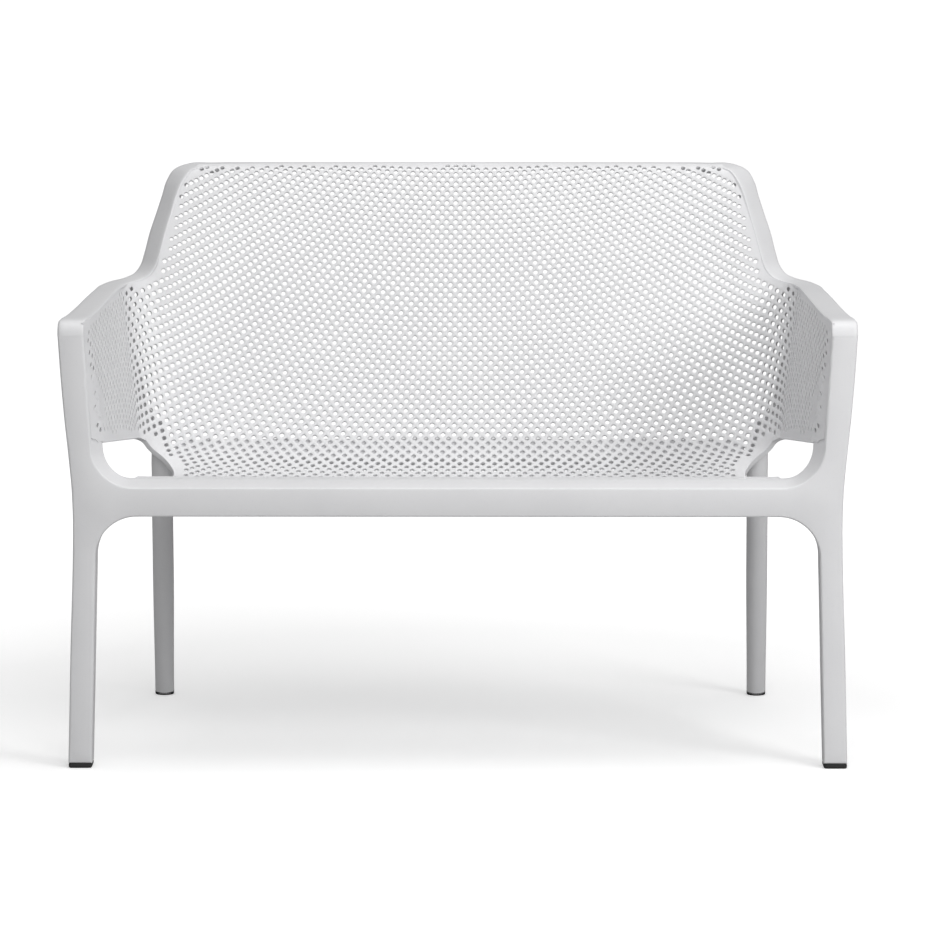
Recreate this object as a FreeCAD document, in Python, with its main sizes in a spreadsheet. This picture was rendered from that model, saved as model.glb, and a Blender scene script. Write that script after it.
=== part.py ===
import FreeCAD, Part
import math
import os
import Sketcher
from FreeCAD import Placement, Rotation, Vector

# Two-seat garden bench in moulded resin. Frame: +X to the right of a person who faces the bench, +Y from its
# front to its back, +Z up, origin on the floor under the middle of the bench. Millimetres.
# The perforated seat, back and arms are one smooth tub. A point of the tub has two coordinates: u, the
# length along the middle profile from the front edge, over the seat and up the back, and s, the length
# sideways along the rounded U-shaped section at that place.

DIMENSIONS = [
    ("overall_depth", 645.0), ("overall_height", 845.0), ("arm_height", 655.0), ("arm_thick", 24.0),
    ("arm_bend", 22.0), ("rim_thick", 14.0), ("sheet_thick", 4.0), ("pad_height", 7.0),
    ("leg_depth", 46.0), ("leg_depth_foot", 38.0),
    ("leg_top_outer", 577.0), ("leg_top_inner", 539.0), ("leg_hip_outer", 568.0), ("leg_hip_level", 511.0),
    ("leg_hip_inner", 526.5), ("leg_waist_outer", 558.0), ("leg_waist_high", 395.0),
    ("leg_waist_low", 336.0), ("leg_waist_inner", 523.0), ("leg_foot_outer", 568.0), ("leg_foot_inner", 533.5),
    ("rail_low", 370.0), ("rail_top", 412.0), ("rail_half", 460.0), ("gusset_round", 60.0),
    ("crest_front", 420.0), ("crest_top", 421.5), ("crest_run", 22.0),
    ("cheek_level", 432.0), ("cheek_low_reach", 513.0), ("cheek_top_reach", 534.0),
    ("socket_width", 20.0), ("socket_depth", 26.0), ("socket_length", 26.0), ("plug_length", 24.0),
    ("rear_foot_across", 471.0), ("rear_foot_back", 290.0), ("rear_leg_foot_radius", 15.0),
    ("rear_leg_radius", 16.5), ("rear_plug_radius", 8.0), ("rear_plug_length", 16.0),
    ("beam_low", 405.0), ("beam_top", 439.0), ("beam_half", 452.0), ("beam_front", 130.5),
    ("beam_slant", 20.5), ("beam_thick", 24.0),
    ("side_beam_width", 12.0), ("side_beam_height", 20.0), ("rib_thick", 6.0), ("rib_height", 24.0),
    ("corner_radius", 60.0), ("back_hollow", 20.0), ("seat_hollow", 4.0), ("hollow_at", 440.0),
    ("tub_half", 491.0), ("tub_level", 435.0), ("tub_lean", 0.139),
    ("seat_edge_front", 474.0), ("seat_edge_rear", 437.0),
]

doc = FreeCAD.newDocument("garden_bench")
sheet = doc.addObject("Spreadsheet::Sheet", "Dims")
for row, (alias, value) in enumerate(DIMENSIONS, start=1):
    sheet.set("A%d" % row, alias)
    sheet.set("B%d" % row, str(value))
    sheet.setAlias("B%d" % row, alias)
doc.recompute()


def dim(alias):
    """One driving dimension, read back from the sheet."""
    return float(sheet.get(alias))


# ---------------------------------------------------------------- the tub's surface

FRONT = -dim("overall_depth") / 2
LEG_BACK = FRONT + dim("leg_depth")

# The middle profile is a chain of tangent arcs and lines. Each entry gives the length and the slope, in
# degrees above level, at its start and its end. It runs over the front crest, down the seat, round the
# bend, up the back with its soft lumbar curve, and rolls back over the top.
PROFILE_START = (FRONT + 3.5, dim("rail_top") + 1.0)
CREST_RADIUS, BEND_RADIUS, TOP_RADIUS = 120.0, 115.0, 24.0
CREST_SLOPE, SEAT_SLOPE, BACK_FOOT_SLOPE, LOIN_SLOPE, SHOULDER_SLOPE, TOP_SLOPE = 22.0, -9.9, 60.0, 67.0, 74.0, 66.0
PROFILE = [
    (CREST_RADIUS * math.radians(CREST_SLOPE - SEAT_SLOPE), CREST_SLOPE, SEAT_SLOPE),
    (277.0, SEAT_SLOPE, SEAT_SLOPE),
    (BEND_RADIUS * math.radians(BACK_FOOT_SLOPE - SEAT_SLOPE), SEAT_SLOPE, BACK_FOOT_SLOPE),
    (75.0, BACK_FOOT_SLOPE, LOIN_SLOPE),
    (180.0, LOIN_SLOPE, SHOULDER_SLOPE),
    (176.6, SHOULDER_SLOPE, TOP_SLOPE),
    (TOP_RADIUS * math.radians(TOP_SLOPE), TOP_SLOPE, 0.0),
]
KNOTS = [sum(part[0] for part in PROFILE[:count]) for count in range(len(PROFILE) + 1)]
U_SEAT_BACK, U_BEND_END, U_ROLL, U_TOP = KNOTS[2], KNOTS[3], KNOTS[6], KNOTS[7]
U_FRONT = 43.8


def smooth(value):
    """Smooth step from 0 to 1."""
    value = min(max(value, 0.0), 1.0)
    return value * value * (3 - 2 * value)


def profile(u):
    """Depth, height and slope (radians) of the middle profile at length u."""
    y, z = PROFILE_START
    for length, first, last in PROFILE:
        run = min(u, length)
        start, end = math.radians(first), math.radians(first + (last - first) * run / length)
        if abs(last - first) < 1e-9:
            y, z = y + run * math.cos(start), z + run * math.sin(start)
        else:
            radius = length / math.radians(last - first)
            y, z = y + radius * (math.sin(end) - math.sin(start)), z - radius * (math.cos(end) - math.cos(start))
        u -= run
        if u <= 1e-9:
            break
    return y, z, end


def even(first, last, count):
    """Evenly spaced values."""
    return [first + (last - first) * step / (count - 1) for step in range(count)]


def u_at_height(z):
    """Profile length at which the back is z high, by halving."""
    low, high = U_SEAT_BACK + 25.0, U_TOP
    for _ in range(40):
        middle = (low + high) / 2
        low, high = (middle, high) if profile(middle)[1] < z else (low, middle)
    return low


def section(s, u):
    """Sideways distance and inward rise of the U-shaped section: a wide arc, a corner arc, a straight arm."""
    height = profile(u)[1]
    wall = smooth((u - U_SEAT_BACK) / (U_BEND_END - U_SEAT_BACK))
    half = (1 - wall) * (497.0 + 0.134 * max(U_SEAT_BACK - u, 0.0))
    half += wall * (dim("tub_half") + dim("tub_lean") * (height - dim("tub_level")))
    hollow = 0.4 + (dim("seat_hollow") - 0.4) * smooth((u - U_FRONT) / 160.0)
    hollow += wall * (dim("back_hollow") - dim("seat_hollow"))
    wide, corner = dim("hollow_at") ** 2 / 2 / hollow, dim("corner_radius")
    splay = math.radians(1.7 + 1.5 * min(max((665.0 - height) / 225.0, 0.0), 1.0))
    turn, last = math.asin((half - corner) / (wide - corner)), math.pi / 2 - splay
    if s < wide * turn:
        return wide * math.sin(s / wide), wide * (1 - math.cos(s / wide))
    angle = min(turn + (s - wide * turn) / corner, last)
    across = wide * math.sin(turn) + corner * (math.sin(angle) - math.sin(turn))
    rise = wide * (1 - math.cos(turn)) + corner * (math.cos(turn) - math.cos(angle))
    rest = max(s - wide * turn - corner * (last - turn), 0.0)
    return across + rest * math.cos(last), rise + rest * math.sin(last)


def tub(s, u):
    """Point of the tub's inner surface. The section stands up on the seat and lies level on the back."""
    y, z, slope = profile(u)
    across, rise = section(abs(s), u)
    lift = 0.0 if u > U_BEND_END else math.pi / 2 * (1 - smooth(slope / math.radians(60.0)))
    return Vector(math.copysign(across, s), y - rise * math.cos(lift), z + rise * math.sin(lift))


def tub_outside(s, u):
    """The same point on the sheet's other face, one thickness away along the surface's normal."""
    step = 0.5
    along_s = tub(s + step, u) - tub(s - step, u)
    along_u = tub(s, min(u + step, U_TOP)) - tub(s, max(u - step, 0.0))
    normal = along_s.cross(along_u)
    normal.normalize()
    return tub(s, u) + normal * -dim("sheet_thick")


def corner_start(u):
    """Section length at which the corner arc begins."""
    low, high = 380.0, 520.0
    for _ in range(30):
        middle = (low + high) / 2
        straight = section(middle + 0.5, u)[1] - section(middle - 0.5, u)[1]
        low, high = (middle, high) if straight < 0.12 else (low, middle)
    return low


def s_at_depth(depth, u):
    """Section length at which the arm's wall reaches a depth, by halving."""
    low, high = 500.0, 1100.0
    for _ in range(40):
        middle = (low + high) / 2
        low, high = (middle, high) if tub(middle, u).y > depth else (low, middle)
    return low


# ---------------------------------------------------------------- helpers that make solids

def skin(grid):
    """Smooth face through a grid of points."""
    surface = Part.BSplineSurface()
    surface.interpolate(grid)
    return surface.toShape()


def border(face, first, last):
    """Border edge of a face between two of its corners."""
    def miss(edge):
        start, end = edge.Vertexes[0].Point, edge.Vertexes[-1].Point
        return min(start.distanceToPoint(first) + end.distanceToPoint(last),
                   start.distanceToPoint(last) + end.distanceToPoint(first))
    return min(face.Edges, key=miss)


def sheet_solid(rows):
    """Sheet over a grid of (s, u) places: two smooth faces one thickness apart, closed along their borders."""
    grids = [[[surface(s, u) for s, u in row] for row in rows] for surface in (tub, tub_outside)]
    faces = [skin(grid) for grid in grids]
    strips = []
    for first, last in (((0, 0), (0, -1)), ((0, -1), (-1, -1)), ((-1, -1), (-1, 0)), ((-1, 0), (0, 0))):
        edges = [border(face, grid[first[0]][first[1]], grid[last[0]][last[1]])
                 for face, grid in zip(faces, grids)]
        strips.append(Part.makeRuledSurface(edges[0], edges[1]))
    shell = Part.Shell(faces + strips)
    shell.sewShape(0.01)
    return Part.Solid(shell)


def along(points, count):
    """Points evenly spread along a smooth curve through the given ones."""
    curve = Part.BSplineCurve()
    curve.interpolate(points)
    return curve.discretize(Number=count)


def ring_loft(rings, ruled=False):
    """Solid through closed rings of points joined by straight edges."""
    return Part.makeLoft([Part.makePolygon(ring + ring[:1]) for ring in rings], True, ruled)


def add_shape(name, shape):
    """A free-form piece, placed after its shape is set."""
    piece = doc.addObject("Part::Feature", name)
    piece.Label = name
    piece.Shape = shape
    piece.Placement = Placement(Vector(0, 0, 0), Rotation())
    return piece


def plane_of(body, role):
    """The body's own origin plane with that role."""
    return [item for item in body.Origin.OriginFeatures if item.Role == role][0]


def bound_outline(body, name, role, corners, offset="0"):
    """A closed outline of straight edges on an origin plane. Each corner is a pair of expressions on the sheet."""
    outline = body.newObject("Sketcher::SketchObject", name)
    outline.AttachmentSupport = [(plane_of(body, role), "")]
    outline.MapMode = "FlatFace"
    outline.setExpression(".AttachmentOffset.Base.z", offset)
    places = [[float(outline.evalExpression(text)) for text in corner] for corner in corners]
    count = len(corners)
    for index, (x, y) in enumerate(places):
        to_x, to_y = places[(index + 1) % count]
        outline.addGeometry(Part.LineSegment(Vector(x, y, 0), Vector(to_x, to_y, 0)), False)
    for index in range(count):
        outline.addConstraint(Sketcher.Constraint("Coincident", index, 2, (index + 1) % count, 1))
    for index, corner in enumerate(corners):
        for kind, text, value in zip(("DistanceX", "DistanceY"), corner, places[index]):
            place = outline.addConstraint(Sketcher.Constraint(kind, index, 1, value))
            outline.setExpression("Constraints[%d]" % place, text)
    return outline


def new_body(name):
    """A body whose label is its node name."""
    body = doc.addObject("PartDesign::Body", name)
    body.Label = name
    return body


def pad(body, name, outline, length, middle=False, backwards=False):
    """Pad an outline by an expression."""
    feature = body.newObject("PartDesign::Pad", name)
    feature.Profile = outline
    feature.setExpression("Length", length)
    feature.Midplane = middle
    feature.Reversed = backwards
    return feature


def edges_near(shape, places, tolerance=1.5):
    """Names of the edges whose middle lies close to one of the places."""
    names = []
    for index, edge in enumerate(shape.Edges, start=1):
        middle = edge.valueAt((edge.FirstParameter + edge.LastParameter) / 2)
        if any(middle.distanceToPoint(place) < tolerance for place in places):
            names.append("Edge%d" % index)
    return names


# ---------------------------------------------------------------- front frame

def front_leg(name, side):
    """Front leg with its gusset to the rail, a tapered back face, an inner cheek and a socket for the foot."""
    body = new_body(name)

    def across(text):
        return "%d * (%s)" % (side, text)

    arm_foot = "Dims.arm_height - Dims.arm_thick"
    corners = [
        (across("Dims.leg_foot_outer"), "Dims.pad_height"),
        (across("Dims.leg_waist_outer"), "Dims.leg_waist_low"),
        (across("Dims.leg_waist_outer"), "Dims.leg_waist_high"),
        (across("Dims.leg_hip_outer"), "Dims.leg_hip_level"),
        (across("Dims.leg_top_outer"), arm_foot),
        (across("Dims.leg_top_inner"), arm_foot),
        (across("Dims.leg_hip_inner"), "Dims.rail_top"),
        (across("Dims.rail_half"), "Dims.rail_top"),
        (across("Dims.rail_half"), "Dims.rail_low"),
        (across("Dims.leg_waist_inner"), "Dims.rail_low"),
        (across("Dims.leg_foot_inner"), "Dims.pad_height"),
    ]
    outline = bound_outline(body, name + "_outline", "XZ_Plane", corners, "Dims.overall_depth / 2")
    block = pad(body, name + "_block", outline, "Dims.leg_depth", backwards=True)
    doc.recompute()
    middle_y = FRONT + dim("leg_depth") / 2
    rounds = body.newObject("PartDesign::Fillet", name + "_gusset")
    bends = [Vector(side * dim("leg_hip_inner"), middle_y, dim("rail_top")),
             Vector(side * dim("leg_waist_inner"), middle_y, dim("rail_low"))]
    rounds.Base = (block, edges_near(block.Shape, bends))
    rounds.setExpression("Radius", "Dims.gusset_round")
    back = "-Dims.overall_depth / 2 + Dims.leg_depth"
    wedge = [
        (back, "Dims.rail_low"), (back + " + 5", "Dims.rail_low"), (back + " + 5", "Dims.pad_height - 1"),
        ("-Dims.overall_depth / 2 + Dims.leg_depth_foot", "Dims.pad_height - 1"),
    ]
    taper = body.newObject("PartDesign::Pocket", name + "_taper")
    taper.Profile = bound_outline(body, name + "_taper_outline", "YZ_Plane", wedge)
    taper.Midplane = True
    taper.setExpression("Length", "4 * Dims.leg_foot_outer")
    front_line = "-Dims.overall_depth / 2 + 8"
    cheek = body.newObject("PartDesign::AdditiveLoft", name + "_cheek")
    triangles = [
        bound_outline(body, name + "_cheek_low", "XY_Plane",
                      [(across("Dims.leg_hip_inner + 4"), front_line), (across("Dims.cheek_low_reach"), back),
                       (across("Dims.leg_waist_outer - 5"), back)], "Dims.cheek_level"),
        bound_outline(body, name + "_cheek_top", "XY_Plane",
                      [(across("Dims.leg_top_inner + 1"), front_line), (across("Dims.cheek_top_reach"), back),
                       (across("Dims.leg_top_outer - 5"), back)], arm_foot),
    ]
    cheek.Profile = triangles[0]
    cheek.Sections = [triangles[1]]
    socket_mid = "(Dims.leg_foot_outer + Dims.leg_foot_inner) / 2"
    socket = [
        (across(socket_mid + " %s Dims.socket_width / 2" % sign_x),
         "-Dims.overall_depth / 2 + Dims.leg_depth_foot / 2 %s Dims.socket_depth / 2" % sign_y)
        for sign_x, sign_y in (("-", "-"), ("+", "-"), ("+", "+"), ("-", "+"))
    ]
    hole = body.newObject("PartDesign::Pocket", name + "_socket")
    hole.Profile = bound_outline(body, name + "_socket_outline", "XY_Plane", socket, "Dims.pad_height")
    hole.Reversed = True
    hole.setExpression("Length", "Dims.socket_length")
    doc.recompute()
    return body


def front_rail():
    """Front rail with the soft crest of the seat's front edge, between the two gussets."""
    body = new_body("front_rail")
    front, back = "-Dims.overall_depth / 2", "-Dims.overall_depth / 2 + Dims.leg_depth"
    corners = [
        (front, "Dims.rail_low"), (front, "Dims.rail_top"), (front + " + Dims.crest_run", "Dims.crest_front"),
        (back, "Dims.crest_top"), (back, "Dims.rail_low"),
    ]
    outline = bound_outline(body, "front_rail_outline", "YZ_Plane", corners)
    pad(body, "front_rail_bar", outline, "2 * Dims.rail_half", middle=True)
    doc.recompute()
    return body


def foot_plug(name, side):
    """Front foot: a flat rubber pad with a plug that fills the socket in the leg."""
    body = new_body(name)
    middle = "(Dims.leg_foot_outer + Dims.leg_foot_inner) / 2"
    depth = "-Dims.overall_depth / 2 + Dims.leg_depth_foot / 2"

    def rectangle(width, length):
        return [("%d * (%s %s %s / 2)" % (side, middle, sign_x, width), "%s %s %s / 2" % (depth, sign_y, length))
                for sign_x, sign_y in (("-", "-"), ("+", "-"), ("+", "+"), ("-", "+"))]

    tread = bound_outline(body, name + "_tread_outline", "XY_Plane",
                          rectangle("(Dims.leg_foot_outer - Dims.leg_foot_inner)", "Dims.leg_depth_foot"))
    tread_pad = pad(body, name + "_tread", tread, "Dims.pad_height")
    doc.recompute()
    upright = [edge for edge in range(len(tread_pad.Shape.Edges))
               if abs(tread_pad.Shape.Edges[edge].tangentAt(0).z) > 0.9]
    rounds = body.newObject("PartDesign::Fillet", name + "_corners")
    rounds.Base = (tread_pad, ["Edge%d" % (edge + 1) for edge in upright])
    rounds.Radius = 3.0
    plug = bound_outline(body, name + "_plug_outline", "XY_Plane",
                         rectangle("Dims.socket_width", "Dims.socket_depth"), "Dims.pad_height")
    pad(body, name + "_plug", plug, "Dims.plug_length")
    doc.recompute()
    return body


# ---------------------------------------------------------------- rear legs and feet

def rear_leg_places():
    """Middle of the rear leg at each level, foot to armrest, with its radius there."""
    radius = dim("rear_leg_radius")
    return [
        (dim("rear_foot_across"), dim("rear_foot_back"), dim("pad_height"), dim("rear_leg_foot_radius")),
        (466.5, 215.0, 178.0, radius - 0.7), (462.0, 152.0, 330.0, radius), (466.0, 129.0, 385.0, radius),
        (487.0, 128.0, 440.0, radius), (508.0, 163.0, 530.0, radius),
        (520.0, 203.0, dim("arm_height") - dim("arm_thick") + 11, radius),
    ]


def rear_leg(name, side):
    """Rear leg: level circles along a smooth line from the foot, under the seat and up behind the corner."""
    places = rear_leg_places()
    line = along([Vector(side * x, y, z) for x, y, z, _ in places], 15)
    foot, full = places[0][3], dim("rear_leg_radius")
    circles = [Part.Wire(Part.makeCircle(foot + (full - foot) * smooth(index / 5.0), point, Vector(0, 0, 1)))
               for index, point in enumerate(line)]
    bore = rear_plug(side, dim("rear_plug_radius"), dim("rear_plug_length"))
    return add_shape(name, Part.makeLoft(circles, True, False).cut(bore))


def rear_plug(side, radius, length):
    """Round plug, in line with the leg just above its foot."""
    foot, knee = rear_leg_places()[0], rear_leg_places()[1]
    axis = Vector(side * (knee[0] - foot[0]), knee[1] - foot[1], knee[2] - foot[2])
    axis.normalize()
    base = Vector(side * foot[0], foot[1], foot[2])
    return Part.makeCylinder(radius, length + 4, base - axis * 4, axis)


def rear_foot(name, side):
    """Round rubber pad with its plug."""
    base = Vector(side * dim("rear_foot_across"), dim("rear_foot_back"), 0)
    tread = Part.makeCylinder(dim("rear_leg_foot_radius"), dim("pad_height"), base, Vector(0, 0, 1))
    plug = rear_plug(side, dim("rear_plug_radius"), dim("rear_plug_length"))
    below = Part.makeBox(60, 60, 10, base - Vector(30, 30, 10 - dim("pad_height")))
    return add_shape(name, tread.fuse(plug.cut(below)).removeSplitter())


# ---------------------------------------------------------------- armrests and rim

# The rim is a flat flange, described by its inner and outer edge at stations along it: over the arm, round
# the corner, up the side of the back. Right-hand side.
ARM_STATIONS = [
    ((539.0, FRONT, 655.0), (577.0, FRONT, 655.0)),
    ((536.5, -270.0, 655.5), (574.0, -270.0, 655.5)),
    ((531.5, -150.0, 658.0), (569.5, -150.0, 658.0)),
    ((528.0, -20.0, 661.5), (565.5, -20.0, 661.5)),
    ((525.0, 80.0, 664.5), (562.0, 84.0, 664.5)),
    ((521.5, 150.0, 666.0), (557.0, 163.0, 666.0)),
]
CORNER_STATIONS = [
    ((521.5, 150.0, 666.0), (557.0, 163.0, 666.0)),
    ((513.5, 187.0, 667.0), (545.0, 209.0, 667.5)),
    ((500.0, 204.0, 669.5), (527.0, 233.0, 670.5)),
    ((487.0, 211.5, 675.5), (512.0, 245.0, 677.0)),
    ((477.5, 217.0, 687.0), (503.0, 251.0, 689.0)),
    ((471.0, 222.0, 705.0), (497.0, 256.0, 706.0)),
    ((462.5, 233.5, 738.0), (488.5, 268.0, 738.0)),
    ((452.5, 247.0, 773.0), (477.5, 281.5, 772.0)),
    ((445.5, 256.5, 798.0), (470.0, 292.0, 796.0)),
    ((436.0, 266.5, 820.0), (463.0, 303.0, 817.0)),
    ((423.0, 276.0, 836.0), (452.0, 312.0, 833.0)),
    ((400.0, 281.0, 842.0), (425.0, 320.0, 843.5)),
]


def rim_rings(stations, side, count, first_thick, last_thick):
    """Closed rings of the flange's section: its two edges, and the same two one thickness behind."""
    edges = [along([Vector(side * pair[which][0], pair[which][1], pair[which][2]) for pair in stations], count)
             for which in (0, 1)]
    rings = []
    for index, (inner, outer) in enumerate(zip(*edges)):
        run = edges[0][min(index + 1, count - 1)] - edges[0][max(index - 1, 0)]
        behind = (outer - inner).cross(run) * side
        behind.normalize()
        thick = first_thick + (last_thick - first_thick) * smooth(2.0 * index / count)
        rings.append([inner, outer, outer - behind * thick, inner - behind * thick])
    return rings


def armrest(name, side):
    """Armrest: the flange over the arm, with a bend of its own radius where it comes down to the leg."""
    bar = ring_loft(rim_rings(ARM_STATIONS, side, 9, dim("arm_thick"), dim("arm_thick")))
    bend, top = dim("arm_bend"), dim("arm_height")
    nose = Part.makeBox(80, bend + 10, bend + 10, Vector(side * 555 - 40, FRONT - 10, top - bend))
    axle = Part.makeCylinder(bend, 80, Vector(side * 555 - 40, FRONT + bend, top - bend), Vector(1, 0, 0))
    return add_shape(name, bar.cut(nose.cut(axle)))


def back_rim(name, side):
    """Rim from the armrest round the corner and up the side of the back, thinning as it climbs."""
    return add_shape(name, ring_loft(rim_rings(CORNER_STATIONS, side, 25, dim("arm_thick"), dim("rim_thick"))))


def top_rim():
    """Rim along the top: the sheet rolls back over it, and it ends at the overall depth."""
    inner, outer = CORNER_STATIONS[-1]
    back = dim("overall_depth") / 2
    rings = []
    for x in even(-inner[0], inner[0], 13):
        share = abs(x) / inner[0]
        sag = dim("back_hollow") * (x / dim("hollow_at")) ** 2
        edge = Vector(x, 297.0 - sag, 838.0 + (inner[2] - 838.0) * share ** 4)
        far = Vector(math.copysign(outer[0] * share, x) if x else 0.0,
                     back + (outer[1] - back) * share ** 4,
                     dim("overall_height") + (outer[2] - dim("overall_height")) * share ** 4)
        mid = Vector((edge.x + far.x) / 2, (edge.y + far.y) / 2, far.z)
        drop = Vector(0, 0, dim("rim_thick"))
        rings.append([edge, mid, far, far - drop, edge - drop])
    return add_shape("top_rim", ring_loft(rings))


# ---------------------------------------------------------------- the tub's panels

def seat_edge(u):
    """Section length of the seat's side edge, which closes in towards the back."""
    front, rear = dim("seat_edge_front"), dim("seat_edge_rear")
    if u <= U_SEAT_BACK:
        return front + (rear - front) * u / U_SEAT_BACK
    return rear + 0.98 * max(profile(u)[1] - 376.0, 0.0)


U_OPENING = u_at_height(436.0)
U_MIDDLE = u_at_height(620.0)


def panel_across(first, last, count, reach):
    """Sheet across the whole bench between two profile lengths."""
    return sheet_solid([[(s, u) for s in even(-reach(u), reach(u), 13)] for u in even(first, last, count)])


def between(value, table):
    """Straight-line reading of a table of pairs, sorted by the first number."""
    for (low, first), (high, last) in zip(table, table[1:]):
        if value <= high:
            break
    return first + (last - first) * min(max((value - low) / (high - low), 0.0), 1.0)


RIM_INNER = [pair[0] for pair in ARM_STATIONS[:-1] + CORNER_STATIONS]
RIM_X_BY_Z = [(point[2], point[0]) for point in RIM_INNER[5:]]
RIM_Z_BY_X = [(point[0], point[2]) for point in RIM_INNER[::-1]]


def back_reach(u):
    """Half width of the back: to the corner's start, or to the rim where the rim is nearer."""
    height = profile(u)[1]
    if height < 675.0:
        return corner_start(u)
    return min(corner_start(u), between(height, RIM_X_BY_Z) + 0.5)


def arm_top(share):
    """Height at which a column of the arm's wall meets the rim's inner edge."""
    height = 680.0
    for _ in range(8):
        u = u_at_height(height)
        first = corner_start(u)
        point = tub(first + (s_at_depth(LEG_BACK, u) - first) * share, u)
        height = between(point.x, RIM_Z_BY_X)
    return height


def arm_panel(side):
    """Side wall with the rounded rear corner, from the opening's top edge up to the armrest and the rim."""
    rows = []
    for share in even(0.0, 1.0, 15):
        row = []
        ramp = (share - 0.13 + math.hypot(share - 0.13, 0.03)) / 2 / 0.87
        for z in even(436.0 + 38.0 * ramp, arm_top(share), 7):
            u = u_at_height(z)
            first = corner_start(u)
            row.append((side * (first + (s_at_depth(LEG_BACK, u) - first) * share), u))
        rows.append(row)
    return sheet_solid(rows)


def largest(shape):
    """The one large solid that is left when a sheet is trimmed by the frame."""
    return max(shape.Solids, key=lambda solid: solid.Volume)


def trimmed(panel, frames):
    """Panel cut back to the faces of the frame pieces it meets."""
    for frame in frames:
        panel = largest(panel.cut(frame.Shape))
    return panel


# ---------------------------------------------------------------- beams under the tub

def side_beam(name, side):
    """Stiffening beam under the seat's side edge, from the rail back to the rear leg."""
    width, height = dim("side_beam_width"), dim("side_beam_height")
    rings = []
    for u in (U_FRONT, 150.0, 250.0, U_SEAT_BACK, U_SEAT_BACK + 50.0):
        top = tub_outside(side * (seat_edge(u) - width), u)
        rings.append([top + Vector(side * x, 0, z - 0.4) for x, z in
                      ((0, 0), (width, 0), (width - 2, -height), (2, -height))])
    return add_shape(name, ring_loft(rings))


def cross_beam():
    """Beam across the back of the bend, between the rear legs."""
    body = new_body("rear_cross_beam")
    corners = [
        ("Dims.beam_front", "Dims.beam_low"), ("Dims.beam_front + Dims.beam_slant", "Dims.beam_top"),
        ("Dims.beam_front + Dims.beam_slant + Dims.beam_thick", "Dims.beam_top"),
        ("Dims.beam_front + Dims.beam_thick", "Dims.beam_low"),
    ]
    pad(body, "rear_cross_beam_bar", bound_outline(body, "rear_cross_beam_outline", "YZ_Plane", corners),
        "2 * Dims.beam_half", middle=True)
    doc.recompute()
    return body


def seat_rib(name, across):
    """Thin upright rib under the seat from the rail to the cross beam."""
    thick, height = dim("rib_thick"), dim("rib_height")
    upper = [tub_outside(across, u) for u in even(U_FRONT, U_SEAT_BACK, 3) + even(U_SEAT_BACK + 30, 440.0, 3)]
    upper = [Vector(across - thick / 2, point.y, point.z - 0.4) for point in upper]
    lower = [point - Vector(0, 0, height) for point in upper]
    face = Part.Face(Part.makePolygon(upper + lower[::-1] + upper[:1]))
    return add_shape(name, face.extrude(Vector(thick, 0, 0)))


# ---------------------------------------------------------------- assembly

SIDES = (("left", -1), ("right", 1))

front = [front_rail()] + [front_leg(word + "_front_leg", side) for word, side in SIDES]
front_feet = [foot_plug("front_%s_foot" % word, side) for word, side in SIDES]
arms = [armrest(word + "_armrest", side) for word, side in SIDES]
rims = [back_rim(word + "_back_rim", side) for word, side in SIDES]
rear_feet = [rear_foot("rear_%s_foot" % word, side) for word, side in SIDES]
legs = [rear_leg(word + "_rear_leg", side) for word, side in SIDES]
top = top_rim()
beam = cross_beam()
side_beams = [side_beam(word + "_seat_beam", side) for word, side in SIDES]
ribs = [seat_rib("%s_seat_rib" % word, side * 150.0) for word, side in SIDES]

add_shape("seat_panel", trimmed(panel_across(U_FRONT, U_SEAT_BACK, 5, seat_edge), front))
add_shape("seat_bend_panel", panel_across(U_SEAT_BACK, U_OPENING, 7, seat_edge))
add_shape("lower_back_panel", panel_across(U_OPENING, U_MIDDLE, 6, back_reach))
add_shape("upper_back_panel", trimmed(panel_across(U_MIDDLE, U_ROLL + 9, 12, back_reach), rims + [top]))
for (word, side), leg, arm, rim in zip(SIDES, front[1:], arms, rims):
    add_shape(word + "_arm_panel", trimmed(arm_panel(side), [leg, arm, rim]))

doc.recompute()

# ---------------------------------------------------------------- checks and files

NODES = [item for item in doc.Objects if item.TypeId in ("PartDesign::Body", "Part::Feature")]
for item in doc.Objects:
    if "Invalid" in item.State or "Error" in item.State:
        raise RuntimeError("failed object: " + item.Name)
os.makedirs("parts", exist_ok=True)
for node in NODES:
    if node.Shape.isNull() or not node.Shape.isValid():
        raise RuntimeError("bad shape: " + node.Label)
    node.Shape.exportStep(os.path.join("parts", node.Label + ".step"))
    box = node.Shape.BoundBox
    print("%-20s %9.0f mm3  x %.0f..%.0f  y %.0f..%.0f  z %.0f..%.0f" % (
        node.Label, node.Shape.Volume, box.XMin, box.XMax, box.YMin, box.YMax, box.ZMin, box.ZMax))
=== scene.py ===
import math

import bpy
import numpy as np
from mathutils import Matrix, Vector
from mathutils.geometry import delaunay_2d_cdt


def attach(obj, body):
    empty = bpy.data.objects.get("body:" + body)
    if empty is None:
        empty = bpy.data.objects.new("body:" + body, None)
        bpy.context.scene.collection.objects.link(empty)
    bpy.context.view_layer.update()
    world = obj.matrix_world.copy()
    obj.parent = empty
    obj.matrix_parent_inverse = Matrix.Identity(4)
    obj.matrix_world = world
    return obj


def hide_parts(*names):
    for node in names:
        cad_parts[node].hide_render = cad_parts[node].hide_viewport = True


# A two-seat garden bench in white moulded resin: a pierced tub of seat, back and arms on a flat-fronted
# frame. Lengths in the functions below are millimetres in the frame's axes; make_piece turns them to metres.

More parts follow.
